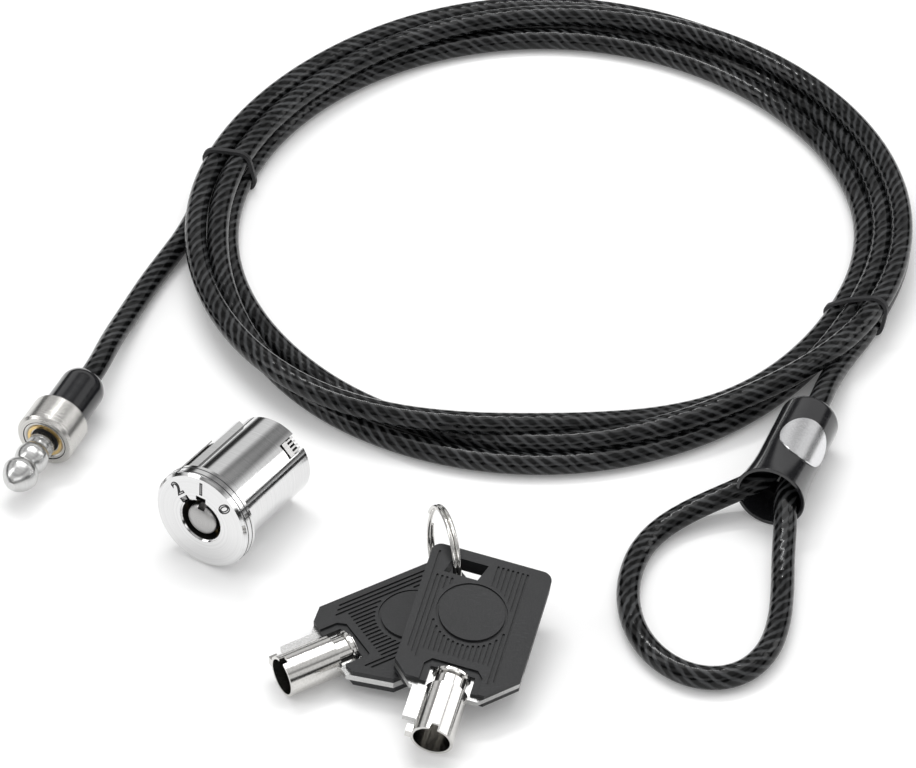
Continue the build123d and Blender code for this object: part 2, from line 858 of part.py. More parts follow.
for label, pose in key_poses.items():
    frame = key_frame(pose)
    barrel = key_barrel(frame)
    blade = key_blade(frame, barrel)
    keep(barrel, f"{label}_barrel")
    keep(blade, f"{label}_blade")
    keep(key_head(frame, blade, barrel), f"{label}_head")

ring_frame = facing(ring_centre, ring_normal)
with BuildPart() as split_ring:
    with BuildSketch(side_of(ring_frame)):
        with Locations((ring_radius, 0)):
            RectangleRounded(ring_wire_width, ring_width, ring_corner)
    revolve(axis=axis_of(ring_frame))
keep(split_ring, "split_ring")
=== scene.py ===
import math
import bmesh
import bpy
import numpy as np
from mathutils import Matrix, Vector


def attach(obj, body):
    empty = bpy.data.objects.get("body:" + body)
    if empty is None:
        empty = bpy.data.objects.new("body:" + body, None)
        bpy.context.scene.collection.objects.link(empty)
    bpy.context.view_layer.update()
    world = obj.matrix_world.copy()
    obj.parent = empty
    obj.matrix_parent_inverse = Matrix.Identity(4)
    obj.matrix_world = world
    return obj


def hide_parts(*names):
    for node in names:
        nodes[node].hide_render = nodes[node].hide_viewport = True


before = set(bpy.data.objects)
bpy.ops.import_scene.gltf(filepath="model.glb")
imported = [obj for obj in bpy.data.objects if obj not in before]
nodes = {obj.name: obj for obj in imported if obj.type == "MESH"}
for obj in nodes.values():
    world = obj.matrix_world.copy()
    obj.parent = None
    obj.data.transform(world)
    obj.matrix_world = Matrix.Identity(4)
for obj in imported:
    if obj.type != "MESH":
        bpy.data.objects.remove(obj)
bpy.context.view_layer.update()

scene = bpy.context.scene
mm = 0.001


# camera

view = {
    "elevation": 42.0,
    "distance": 880 * mm,
    "target": (0.5 * mm, 18.5 * mm, 0.0),
    "lens": 172.9,
    "sensor": 36.0,
}


def addCamera():
    tilt = math.radians(view["elevation"])
    target = Vector(view["target"])
    camera = bpy.data.objects.new("camera", bpy.data.cameras.new("camera"))
    camera.data.lens = view["lens"]
    camera.data.sensor_width = view["sensor"]
    camera.data.clip_start = 0.05
    camera.location = target + view["distance"] * Vector((0, -math.cos(tilt), math.sin(tilt)))
    camera.rotation_euler = (math.pi / 2 - tilt, 0, 0)
    scene.collection.objects.link(camera)
    scene.camera = camera


addCamera()
print("camera placed")


# frames, each with its z along the piece's own axis

def facing(origin, direction):
    zAxis = Vector(direction).normalized()
    xAxis = Vector((0, 0, 1)).cross(zAxis).normalized()
    yAxis = zAxis.cross(xAxis)
    turn = Matrix((xAxis, yAxis, zAxis)).transposed().to_4x4()
    return Matrix.Translation(Vector(origin) * mm) @ turn


def spinAbout(angle, axis):
    return Matrix.Rotation(math.radians(angle), 4, axis)


def keyFrame(place, yaw, tilt, roll):
    level = Matrix.Translation(Vector(place) * mm) @ spinAbout(-yaw, "Z")
    return level @ spinAbout(tilt, "X") @ spinAbout(roll, "Y")


def at(place, x, y, z):
    return place @ Vector((x * mm, y * mm, z * mm))


plugFrame = facing((-84.2, -14.2, 6.0), (0.386, 0.922, 0.0))
ferruleTop = Vector((70.0, 2.4, 6.0))
ferruleMouth = Vector((60.4, -21.8, 7.0))
ferruleFrame = facing(ferruleTop, ferruleMouth - ferruleTop)
ferruleLength = (ferruleMouth - ferruleTop).length
lockYaw = math.radians(57.4)
lockTilt = math.radians(4.9)
lockAxis = (
    math.cos(lockTilt) * math.cos(lockYaw),
    math.cos(lockTilt) * math.sin(lockYaw),
    -math.sin(lockTilt),
)
lockFrame = facing((-48.4, -32.2, 10.72), lockAxis)
keyFrames = {
    "key_1": keyFrame((-7.7, -52.9, 4.3), 59.9, 0.3, 0.0),
    "key_2": keyFrame((2.9, -56.9, 9.2), 15.1, 8.9, 8.4),
}
ringFrame = facing((-2.25, -39.15, 9.5), (0.952, 0.298, -0.075))


# mesh helpers

def meshPiece(name, vertices, faces, sharpAngle=35.0):
    mesh = bpy.data.meshes.new(name)
    mesh.from_pydata([tuple(v) for v in vertices], [], faces)
    mesh.validate()
    mesh.update()
    mesh.shade_smooth()
    mesh.set_sharp_from_angle(angle=math.radians(sharpAngle))
    piece = bpy.data.objects.new(name, mesh)
    scene.collection.objects.link(piece)
    return piece


def finishPiece(piece, material, slot, body, *replaced):
    piece.data.materials.clear()
    piece.data.materials.append(material)
    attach(piece, body)
    if replaced:
        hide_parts(*replaced)
    return piece


def lathePiece(name, place, outline, steps=96, closed=False, sharpAngle=35.0):
    # The outline is radius and height pairs, in mm, turned about the frame's z.
    vertices = []
    faces = []
    count = len(outline)
    for step in range(steps):
        angle = 2 * math.pi * step / steps
        for radius, height in outline:
            vertices.append(at(place, radius * math.cos(angle), radius * math.sin(angle), height))
    for step in range(steps):
        after = (step + 1) % steps
        for row in range(count if closed else count - 1):
            nextRow = (row + 1) % count
            corners = (
                step * count + row,
                after * count + row,
                after * count + nextRow,
                step * count + nextRow,
            )
            faces.append(corners)
    piece = meshPiece(name, vertices, faces, sharpAngle)
    cleanUp(piece)
    return piece


def cleanUp(piece, distance=0.000002):
    # Welds the points that meet on an axis and turns all faces outwards.
    work = bmesh.new()
    work.from_mesh(piece.data)
    bmesh.ops.remove_doubles(work, verts=work.verts, dist=distance)
    bmesh.ops.recalc_face_normals(work, faces=work.faces)
    work.to_mesh(piece.data)
    work.free()


def tubePiece(name, points, radius, steps=20, closed=False):
    # A round tube along points in metres, with its UVs in turns round and metres along.
    line = [Vector(p) for p in points]
    count = len(line)
    tangents = []
    for i in range(count):
        before = line[i - 1] if i > 0 or closed else line[0]
        after = line[(i + 1) % count] if i < count - 1 or closed else line[-1]
        tangents.append((after - before).normalized())
    normal = tangents[0].orthogonal().normalized()
    vertices = []
    travelled = [0.0]
    for i in range(count):
        normal = (normal - tangents[i] * normal.dot(tangents[i])).normalized()
        sideways = tangents[i].cross(normal)
        for step in range(steps):
            angle = 2 * math.pi * step / steps
            spoke = math.cos(angle) * normal + math.sin(angle) * sideways
            vertices.append(line[i] + radius * spoke)
        if i:
            travelled.append(travelled[-1] + (line[i] - line[i - 1]).length)
    faces = []
    corners = []
    for i in range(count if closed else count - 1):
        after = (i + 1) % count
        endLength = travelled[after] if after else travelled[-1] + (line[0] - line[-1]).length
        for step in range(steps):
            nextStep = (step + 1) % steps
            here = i * steps
            ahead = after * steps
            faces.append((here + step, here + nextStep, ahead + nextStep, ahead + step))
            low = step / steps
            high = (step + 1) / steps
            start = travelled[i]
            corners.append(((low, start), (high, start), (high, endLength), (low, endLength)))
    if not closed:
        faces.append(tuple(reversed(range(steps))))
        corners.append(tuple((0.5, 0.0) for step in range(steps)))
        faces.append(tuple((count - 1) * steps + step for step in range(steps)))
        corners.append(tuple((0.5, travelled[-1]) for step in range(steps)))
    mesh = bpy.data.meshes.new(name)
    mesh.from_pydata([tuple(v) for v in vertices], [], faces)
    layer = mesh.uv_layers.new(name="along")
    flat = [value for face in corners for pair in face for value in pair]
    layer.data.foreach_set("uv", flat)
    mesh.shade_smooth()
    mesh.set_sharp_from_angle(angle=math.radians(60))
    piece = bpy.data.objects.new(name, mesh)
    scene.collection.objects.link(piece)
    return piece


def prismPiece(name, place, outline, low, high, sharpAngle=35.0):
    # An outline in the frame's x and y, in mm, from one height to another.
    count = len(outline)
    vertices = [at(place, x, y, low) for x, y in outline]
    vertices += [at(place, x, y, high) for x, y in outline]
    faces = [tuple(reversed(range(count))), tuple(range(count, 2 * count))]
    for i in range(count):
        after = (i + 1) % count
        faces.append((i, after, count + after, count + i))
    return meshPiece(name, vertices, faces, sharpAngle)


def nodeCopy(node, name):
    source = nodes[node].data
    vertices = [v.co for v in source.vertices]
    piece = meshPiece(name, vertices, [tuple(p.vertices) for p in source.polygons])
    cleanUp(piece)
    return piece


def cutAway(piece, cutter):
    # Takes the cutter's shape out of the piece and removes the cutter.
    cleanUp(cutter)
    cut = piece.modifiers.new("cut", "BOOLEAN")
    cut.operation = "DIFFERENCE"
    cut.solver = "EXACT"
    cut.object = cutter
    depsgraph = bpy.context.evaluated_depsgraph_get()
    result = bpy.data.meshes.new_from_object(piece.evaluated_get(depsgraph))
    piece.modifiers.clear()
    piece.data = result
    piece.data.shade_smooth()
    piece.data.set_sharp_from_angle(angle=math.radians(30))
    bpy.data.objects.remove(cutter)


# cords

cable = {
    "radius": 2.25,
    "routeHeight": 2.25,
    "coilCentre": (19.3, 62.5),
    "rowStep": 0.0015,
    "pointsPerTurn": 30,
    "sides": 24,
    "pointsPull": 1.004,  # the smooth line lies this much inside its points
}

# Each turn runs clockwise from the west. A station is an angle, a radius and a height.
coilTurns = [
    [(170, 72.2, 2.25), (135, 70.5, 2.25), (90, 70.7, 2.25), (45, 69.6, 2.6), (0, 69.2, 4.5),
     (-25, 66.9, 4.6), (-55, 67.2, 2.3), (-90, 69.8, 2.25), (-135, 70.4, 2.4)],
    [(180, 68.3, 6.3), (135, 66.3, 6.4), (90, 69.2, 6.4), (45, 71.0, 6.9), (0, 72.9, 6.75),
     (-25, 71.2, 6.75), (-55, 66.8, 6.5), (-90, 66.6, 4.9), (-135, 64.8, 2.3)],
    [(180, 66.6, 2.25), (135, 66.0, 2.25), (90, 66.2, 2.25), (45, 65.4, 2.25), (0, 65.6, 2.25),
     (-25, 63.3, 2.25), (-55, 62.8, 2.8), (-90, 63.2, 6.9), (-135, 72.4, 7.2)],
    [(180, 73.0, 6.4), (135, 70.9, 6.4), (90, 74.2, 4.9), (45, 73.9, 3.0), (0, 72.9, 2.25),
     (-15, 71.8, 2.25)],
]

plugRoute = [
    plugFrame @ Vector((0, 0, 26.2 * mm)),
    plugFrame @ Vector((0, 0, 33.8 * mm)),
    (-69.3, 26.6, 4.2),
    (-66.1, 37.2, 2.6),
    (-62.6, 47.0, 2.25),
    (-58.9, 55.2, 2.25),
    (-55.6, 62.6, 2.25),
]
ferruleRoute = [
    (82.7, 31.4, 2.25),
    (79.0, 25.3, 2.6),
    (75.9, 18.9, 3.5),
    (73.5, 12.5, 4.8),
    ferruleFrame @ Vector((0, 0, -5.0 * mm)),
    ferruleFrame @ Vector((0, 0, 3.3 * mm)),
]
loopRoute = [
    ferruleFrame @ Vector((-2.35 * mm, 0, 17.5 * mm)),
    ferruleFrame @ Vector((-2.35 * mm, 0, 20.1 * mm)),
    (56.8, -17.2, 6.0),
    (51.2, -19.0, 4.4),
    (45.3, -21.5, 3.2),
    (39.7, -25.3, 2.4),
    (35.4, -31.1, 2.25),
    (33.0, -38.6, 2.25),
    (32.5, -46.4, 2.25),
    (34.0, -54.0, 2.25),
    (37.6, -60.4, 2.25),
    (42.7, -64.6, 2.25),
    (48.7, -65.9, 2.25),
    (54.4, -63.7, 2.25),
    (58.7, -58.2, 2.25),
    (61.0, -50.6, 2.25),
    (62.0, -42.2, 2.4),
    (62.5, -33.8, 3.2),
    (63.3, -26.6, 4.9),
    ferruleFrame @ Vector((2.35 * mm, 0, 24.05 * mm)),
    ferruleFrame @ Vector((2.35 * mm, 0, 17.5 * mm)),
]


def inMetres(points):
    return [p if isinstance(p, Vector) else Vector(p) * mm for p in points]


def coilStations():
    stations = []
    for turn, places in enumerate(coilTurns):
        for angle, radius, height in places:
            stations.append((360.0 * turn - angle, radius, height))
    return np.array(stations)


def between(stations, column, angle):
    # A smooth curve through the stations, by Hermite pieces.
    xs = stations[:, 0]
    ys = stations[:, column]
    slopes = np.gradient(ys, xs)
    i = int(np.clip(np.searchsorted(xs, angle) - 1, 0, len(xs) - 2))
    width = xs[i + 1] - xs[i]
    t = (angle - xs[i]) / width
    return (
        ys[i] * (2 * t**3 - 3 * t**2 + 1)
        + slopes[i] * width * (t**3 - 2 * t**2 + t)
        + ys[i + 1] * (3 * t**2 - 2 * t**3)
        + slopes[i + 1] * width * (t**3 - t**2)
    )


stations = coilStations()


def strandAt(turned):
    # Where the cable is after turning this many degrees clockwise from the east.
    radius = between(stations, 1, turned)
    height = max(between(stations, 2, turned), cable["routeHeight"])
    return radius, height


def coilRoute():
    centreX, centreY = cable["coilCentre"]
    step = 360.0 / cable["pointsPerTurn"]
    turned = stations[0, 0]
    points = []
    while turned < stations[-1, 0]:
        radius, height = strandAt(turned)
        angle = math.radians(-turned)
        reach = radius * cable["pointsPull"]
        points.append((centreX + reach * math.cos(angle), centreY + reach * math.sin(angle), height))
        turned += step
    return points


def smoothLine(name, points):
    # Points read from the route's own NURBS line.
    curve = bpy.data.curves.new(name, "CURVE")
    curve.dimensions = "3D"
    curve.resolution_u = 16
    spline = curve.splines.new("NURBS")
    spline.points.add(len(points) - 1)
    for point, place in zip(spline.points, points):
        point.co = (*place, 1.0)
    spline.order_u = 3
    spline.use_endpoint_u = True
    guide = bpy.data.objects.new(name, curve)
    scene.collection.objects.link(guide)
    bpy.context.view_layer.update()
    depsgraph = bpy.context.evaluated_depsgraph_get()
    line = bpy.data.meshes.new_from_object(guide.evaluated_get(depsgraph))
    places = [v.co.copy() for v in line.vertices]
    bpy.data.objects.remove(guide)
    bpy.data.meshes.remove(line)
    return places


def everyStep(line, step):
    # The same line with its points about one step apart.
    kept = [line[0]]
    for place in line[1:-1]:
        if (place - kept[-1]).length >= step:
            kept.append(place)
    kept.append(line[-1])
    return kept


def lengthOf(line):
    return sum((b - a).length for a, b in zip(line, line[1:]))


cableLine = smoothLine("cable_line", inMetres(plugRoute + coilRoute() + ferruleRoute))
loopLine = smoothLine("loop_line", inMetres(loopRoute))
jacketRadius = cable["radius"] * mm
cableRows = everyStep(cableLine, cable["rowStep"])
loopRows = everyStep(loopLine, cable["rowStep"] / 2)
cablePiece = tubePiece("cable_in_jacket", cableRows, jacketRadius, cable["sides"])
loopPiece = tubePiece("cable_loop_in_jacket", loopRows, jacketRadius, cable["sides"])
print("cords made,", round(lengthOf(cableLine), 3), "m and", round(lengthOf(loopLine), 4), "m")


# node groups

def put(tree, kind, **settings):
    node = tree.nodes.new(kind)
    for name, value in settings.items():
        setattr(node, name, value)
    return node


def wire(tree, source, target):
    tree.links.new(source, target)


def calculate(tree, operation, first, second=None, clamp=False):
    node = put(tree, "ShaderNodeMath", operation=operation, use_clamp=clamp)
    for socket, value in zip(node.inputs, (first, second)):
        if value is None:
            continue
        if isinstance(value, (int, float)):
            socket.default_value = value
        else:
            wire(tree, value, socket)
    return node.outputs[0]


def newGroup(name, inputs, outputs):
    tree = bpy.data.node_groups.new(name, "ShaderNodeTree")
    for label, kind, value in inputs:
        socket = tree.interface.new_socket(name=label, in_out="INPUT", socket_type=kind)
        socket.default_value = value
    for label, kind in outputs:
        tree.interface.new_socket(name=label, in_out="OUTPUT", socket_type=kind)
    return tree, put(tree, "NodeGroupInput"), put(tree, "NodeGroupOutput")


def grainGroup():
    # Fine noise for a moulded or cast surface, and a slow drift over the whole piece.
    tree, given, made = newGroup(
        "surfaceGrain",
        [("Fineness", "NodeSocketFloat", 3000.0), ("Drift", "NodeSocketFloat", 60.0)],
        [("Grain", "NodeSocketFloat"), ("Cloud", "NodeSocketFloat")],
    )
    place = put(tree, "ShaderNodeTexCoord")
    for source, target, detail in (("Fineness", "Grain", 3.0), ("Drift", "Cloud", 5.0)):
        noise = put(tree, "ShaderNodeTexNoise")
        noise.inputs["Detail"].default_value = detail
        wire(tree, place.outputs["Object"], noise.inputs["Vector"])
        wire(tree, given.outputs[source], noise.inputs["Scale"])
        wire(tree, noise.outputs[0], made.inputs[target])
    return tree


def wearGroup():
    # Light scuffs: thin lines of a stretched noise, kept to a few patches.
    tree, given, made = newGroup(
        "handlingMarks",
        [("Size", "NodeSocketFloat", 400.0), ("Amount", "NodeSocketFloat", 0.5)],
        [("Marks", "NodeSocketFloat")],
    )
    place = put(tree, "ShaderNodeTexCoord")
    stretch = put(tree, "ShaderNodeMapping")
    stretch.inputs["Scale"].default_value = (1.0, 6.0, 2.0)
    stretch.inputs["Rotation"].default_value = (0.3, 0.5, 0.7)
    lines = put(tree, "ShaderNodeTexNoise")
    lines.inputs["Detail"].default_value = 6.0
    patches = put(tree, "ShaderNodeTexNoise")
    patches.inputs["Scale"].default_value = 90.0
    wire(tree, place.outputs["Object"], stretch.inputs["Vector"])
    wire(tree, stretch.outputs[0], lines.inputs["Vector"])
    wire(tree, given.outputs["Size"], lines.inputs["Scale"])
    wire(tree, place.outputs["Object"], patches.inputs["Vector"])
    thin = calculate(tree, "MULTIPLY", calculate(tree, "SUBTRACT", lines.outputs[0], 0.56), 9.0, True)
    where = calculate(tree, "MULTIPLY", calculate(tree, "SUBTRACT", patches.outputs[0], 0.45), 5.0, True)
    both = calculate(tree, "MULTIPLY", thin, where)
    wire(tree, calculate(tree, "MULTIPLY", both, given.outputs["Amount"]), made.inputs["Marks"])
    return tree


def turningGroup():
    # The rings that a lathe leaves, from the distances from the axis and along it in metres, and a brushing noise
    # round the axis.
    tree, given, made = newGroup(
        "turningRings",
        [
            ("Place", "NodeSocketVector", (0, 0, 0)),
            ("Axis", "NodeSocketVector", (0, 0, 1)),
            ("Fineness", "NodeSocketFloat", 4000.0),
        ],
        [("Rings", "NodeSocketFloat"), ("Brushing", "NodeSocketFloat")],
    )
    place = put(tree, "ShaderNodeTexCoord")
    offset = put(tree, "ShaderNodeVectorMath", operation="SUBTRACT")
    along = put(tree, "ShaderNodeVectorMath", operation="DOT_PRODUCT")
    onAxis = put(tree, "ShaderNodeVectorMath", operation="SCALE")
    out = put(tree, "ShaderNodeVectorMath", operation="SUBTRACT")
    reach = put(tree, "ShaderNodeVectorMath", operation="LENGTH")
    wire(tree, place.outputs["Object"], offset.inputs[0])
    wire(tree, given.outputs["Place"], offset.inputs[1])
    wire(tree, offset.outputs[0], along.inputs[0])
    wire(tree, given.outputs["Axis"], along.inputs[1])
    wire(tree, given.outputs["Axis"], onAxis.inputs[0])
    wire(tree, along.outputs["Value"], onAxis.inputs["Scale"])
    wire(tree, offset.outputs[0], out.inputs[0])
    wire(tree, onAxis.outputs[0], out.inputs[1])
    wire(tree, out.outputs[0], reach.inputs[0])
    total = calculate(tree, "ADD", reach.outputs["Value"], along.outputs["Value"])
    rings = put(tree, "ShaderNodeTexNoise", noise_dimensions="1D")
    rings.inputs["Detail"].default_value = 4.0
    wire(tree, total, rings.inputs["W"])
    wire(tree, given.outputs["Fineness"], rings.inputs["Scale"])
    unit = put(tree, "ShaderNodeVectorMath", operation="NORMALIZE")
    wire(tree, out.outputs[0], unit.inputs[0])
    brush = put(tree, "ShaderNodeTexNoise")
    brush.inputs["Scale"].default_value = 26.0
    brush.inputs["Detail"].default_value = 5.0
    wire(tree, unit.outputs[0], brush.inputs["Vector"])
    wire(tree, rings.outputs[0], made.inputs["Rings"])
    wire(tree, brush.outputs[0], made.inputs["Brushing"])
    return tree


groups = {"grain": grainGroup(), "marks": wearGroup(), "turning": turningGroup()}


def useGroup(tree, kind, **values):
    node = put(tree, "ShaderNodeGroup", node_tree=groups[kind])
    for name, value in values.items():
        node.inputs[name].default_value = value
    return node


def rangeOf(tree, value, low, high, lowest=0.3, highest=0.7):
    # Spreads a noise over the wanted values.
    node = put(tree, "ShaderNodeMapRange")
    node.inputs["From Min"].default_value = lowest
    node.inputs["From Max"].default_value = highest
    node.inputs["To Min"].default_value = low
    node.inputs["To Max"].default_value = high
    wire(tree, value, node.inputs["Value"])
    return node.outputs[0]


def mixColour(tree, factor, first, second):
    node = put(tree, "ShaderNodeMix", data_type="RGBA")
    wire(tree, factor, node.inputs[0])
    for socket, value in ((node.inputs[6], first), (node.inputs[7], second)):
        if isinstance(value, tuple):
            socket.default_value = (*value, 1.0)
        else:
            wire(tree, value, socket)
    return node.outputs[2]


def bumpFrom(tree, shader, height, distance, strength=1.0):
    bump = put(tree, "ShaderNodeBump")
    bump.inputs["Strength"].default_value = strength
    bump.inputs["Distance"].default_value = distance
    wire(tree, height, bump.inputs["Height"])
    wire(tree, bump.outputs[0], shader.inputs["Normal"])


def newMaterial(name):
    material = bpy.data.materials.new(name)
    material.use_nodes = True
    tree = material.node_tree
    return material, tree, tree.nodes["Principled BSDF"]


# materials

jacket = {
    "dark": (0.0020, 0.0021, 0.0022),
    # the strands' colour, brightest on their crowns as a painted highlight
    "light": (0.085, 0.087, 0.090),
    "contrast": 2.6,
    "relief": 0.00009,
    "gloss": 0.24,
    "strands": 7,
    "lay": 0.0185,  # length of one turn of the strands, in metres
    "roughness": (0.09, 0.17),
}


def cableMaterial():
    # Steel strands seen through a clear smoke-black jacket; their crowns are painted lighter as a highlight and
    # the gaps between them darker as shade.
    material, tree, shader = newMaterial("smoke_jacket_over_strands_painted_sheen")
    place = put(tree, "ShaderNodeTexCoord")
    split = put(tree, "ShaderNodeSeparateXYZ")
    wire(tree, place.outputs["UV"], split.inputs[0])
    wobble = put(tree, "ShaderNodeTexNoise", noise_dimensions="1D")
    wobble.inputs["Scale"].default_value = 260.0
    wobble.inputs["Detail"].default_value = 3.0
    wire(tree, split.outputs["Y"], wobble.inputs["W"])
    around = calculate(tree, "MULTIPLY", split.outputs["X"], float(jacket["strands"]))
    turns = calculate(tree, "MULTIPLY", split.outputs["Y"], jacket["strands"] / jacket["lay"])
    drift = calculate(tree, "MULTIPLY", wobble.outputs[0], 0.7)
    phase = calculate(tree, "ADD", calculate(tree, "SUBTRACT", around, turns), drift)
    wave = calculate(tree, "SINE", calculate(tree, "MULTIPLY", phase, 2 * math.pi))
    strand = calculate(tree, "ADD", calculate(tree, "MULTIPLY", wave, 0.5), 0.5)
    fine = calculate(tree, "SINE", calculate(tree, "MULTIPLY", phase, 6 * math.pi))
    wires = calculate(tree, "ADD", calculate(tree, "MULTIPLY", fine, 0.14), 0.86)
    grain = useGroup(tree, "grain", Fineness=900.0, Drift=170.0)
    strandsWithSheen = calculate(tree, "POWER", strand, jacket["contrast"])
    strandsWithSheen = calculate(tree, "MULTIPLY", strandsWithSheen, wires)
    patchy = rangeOf(tree, grain.outputs["Cloud"], 0.25, 1.0, 0.32, 0.66)
    strandsWithSheen = calculate(tree, "MULTIPLY", strandsWithSheen, patchy, True)
    wire(tree, mixColour(tree, strandsWithSheen, jacket["dark"], jacket["light"]), shader.inputs["Base Color"])
    wire(tree, rangeOf(tree, grain.outputs["Cloud"], *jacket["roughness"]), shader.inputs["Roughness"])
    lumps = calculate(tree, "ADD", calculate(tree, "MULTIPLY", strand, 0.3), grain.outputs["Cloud"])
    bumpFrom(tree, shader, lumps, jacket["relief"])
    shader.inputs["Specular IOR Level"].default_value = jacket["gloss"]
    return material


def plainMaterial(name, dark, light, roughness, fineness, bump, coat=0.0, marks=0.0, gloss=0.35):
    # A moulded plastic, rubber or vinyl surface; also the flat dark used as painted shade, and the ink.
    material, tree, shader = newMaterial(name)
    grain = useGroup(tree, "grain", Fineness=fineness, Drift=70.0)
    scuffs = useGroup(tree, "marks", Size=500.0, Amount=marks)
    mixed = mixColour(tree, grain.outputs["Cloud"], dark, light)
    paler = tuple(min(1.0, 2.2 * c + 0.02) for c in light)
    wire(tree, mixColour(tree, scuffs.outputs[0], mixed, paler), shader.inputs["Base Color"])
    base = rangeOf(tree, grain.outputs["Grain"], *roughness)
    rougher = calculate(tree, "MULTIPLY", scuffs.outputs[0], 0.3)
    wire(tree, calculate(tree, "ADD", base, rougher), shader.inputs["Roughness"])
    bumpFrom(tree, shader, grain.outputs["Grain"], bump)
    shader.inputs["Specular IOR Level"].default_value = gloss
    shader.inputs["Coat Weight"].default_value = coat
    shader.inputs["Coat Roughness"].default_value = 0.08
    return material


def metalMaterial(name, dark, light, roughness, place=None, axis=None, fineness=4000.0, bump=0.000004, marks=0.16):
    # A metal with lathe rings where it has an axis, cast grain where it has none, and scuffs.
    material, tree, shader = newMaterial(name)
    shader.inputs["Metallic"].default_value = 1.0
    grain = useGroup(tree, "grain", Fineness=2500.0, Drift=80.0)
    scuffs = useGroup(tree, "marks", Size=420.0, Amount=marks)
    pattern = grain.outputs["Grain"]
    if axis is not None:
        turning = useGroup(tree, "turning", Place=tuple(place), Axis=tuple(axis), Fineness=fineness)
        pattern = turning.outputs["Rings"]
    wire(tree, mixColour(tree, pattern, dark, light), shader.inputs["Base Color"])
    base = rangeOf(tree, grain.outputs["Cloud"], *roughness)
    rougher = calculate(tree, "MULTIPLY", scuffs.outputs[0], 0.22)
    wire(tree, calculate(tree, "ADD", base, rougher), shader.inputs["Roughness"])
    bumpFrom(tree, shader, pattern, bump)
    return material


def axisOf(place):
    return place.col[2].to_3d()


plugPlace = plugFrame.translation
lockPlace = lockFrame.translation
finishes = {
    "jacket": cableMaterial(),
    "rubber": plainMaterial(
        "band_rubber", (0.012, 0.012, 0.013), (0.03, 0.03, 0.032), (0.45, 0.62), 2200.0, 0.00003
    ),
    "vinyl": plainMaterial(
        "black_vinyl", (0.006, 0.006, 0.007), (0.016, 0.016, 0.018), (0.10, 0.19), 700.0, 0.00002, 0.5, 0.25
    ),
    "keyPlastic": plainMaterial(
        "key_plastic", (0.009, 0.0093, 0.010), (0.020, 0.0205, 0.022), (0.42, 0.58), 4200.0, 0.00002, 0.0, 0.4
    ),
    # flat near-black painted as shade in gaps and recesses
    "paintedShade": plainMaterial(
        "painted_shade_dark", (0.002, 0.002, 0.002), (0.006, 0.006, 0.006), (0.5, 0.7), 900.0, 0.00001
    ),
    # dark ink for the engraved digits, also used as painted shade in the flange's groove lines
    "inkAndGrooveShade": plainMaterial(
        "engraved_ink_and_groove_shade", (0.012, 0.012, 0.013), (0.05, 0.05, 0.052), (0.35, 0.5), 3000.0, 0.00001
    ),
    "turned": metalMaterial(
        "turned_steel", (0.40, 0.39, 0.37), (0.72, 0.71, 0.69), (0.2, 0.3),
        plugPlace, axisOf(plugFrame), 5200.0, 0.00002,
    ),
    "polished": metalMaterial(
        "polished_steel", (0.42, 0.42, 0.42), (0.74, 0.74, 0.73), (0.2, 0.3),
        plugPlace, axisOf(plugFrame), 4000.0, 0.00001,
    ),
    "chrome": metalMaterial(
        "lock_chrome", (0.66, 0.66, 0.66), (0.80, 0.80, 0.80), (0.06, 0.12),
        lockPlace, axisOf(lockFrame), 2600.0, 0.000002, 0.2,
    ),
    "bare": metalMaterial(
        "bare_steel", (0.36, 0.36, 0.36), (0.62, 0.61, 0.60), (0.24, 0.38), None, None, 0, 0.00001
    ),
    "post": metalMaterial(
        "brushed_post", (0.26, 0.26, 0.26), (0.60, 0.59, 0.58), (0.28, 0.4),
        lockPlace, axisOf(lockFrame), 6500.0, 0.00003,
    ),
    "brass": metalMaterial(
        "pin_brass", (0.60, 0.42, 0.18), (0.84, 0.64, 0.32), (0.2, 0.32), None, None, 0, 0.00001
    ),
    "badge": metalMaterial(
        "badge_silver", (0.62, 0.62, 0.63), (0.84, 0.84, 0.85), (0.20, 0.3), None, None, 0, 0.000008
    ),
    "keySteel": metalMaterial(
        "key_steel", (0.42, 0.42, 0.42), (0.66, 0.66, 0.65), (0.2, 0.32), None, None, 0, 0.000008
    ),
    "nickel": metalMaterial(
        "key_nickel", (0.52, 0.51, 0.49), (0.80, 0.79, 0.77), (0.09, 0.17), None, None, 0, 0.000005
    ),
}
nodeFinishes = {
    "plug_boot": "vinyl", "plug_collar": "turned", "plug_crimp": "bare", "pin_retainer": "turned",
    "locking_pin": "polished", "ferrule_cover": "vinyl", "ferrule_badge": "badge", "ferrule_crimp": "bare",
    "lock_housing": "chrome", "lock_spindle": "post", "pin_sleeve": "bare", "key_pins": "brass",
    "driver_pins": "brass", "pin_springs": "bare", "sleeve_pin": "bare", "cam_cup": "bare",
    "cam_screw": "bare", "latch_plate": "bare", "rear_cap": "chrome", "side_blade": "keySteel",
    "key_1_head": "keyPlastic", "key_2_head": "keyPlastic", "key_1_blade": "keySteel",
    "key_2_blade": "keySteel", "key_1_barrel": "nickel", "key_2_barrel": "nickel", "split_ring": "nickel",
}
for node, finish in nodeFinishes.items():
    nodes[node].data.materials.clear()
    nodes[node].data.materials.append(finishes[finish])
print("materials made")


# cable

coilNodes = ("cable_coil", "cable_tail_plug", "cable_tail_loop")
finishPiece(cablePiece, finishes["jacket"], "cable_jacket", "cable", *coilNodes)
finishPiece(loopPiece, finishes["jacket"], "cable_jacket", "cable", "cable_loop")


# bands

band = {
    "places": {"band_left": 166.5, "band_right": -25.5},
    "centre": (19.3, 65.1),
    "width": 1.3,
    "thickness": 0.65,
    "edge": 0.2,
    "inner": 2.3,  # from a strand's middle to the band's inner face
    "points": 96,
}


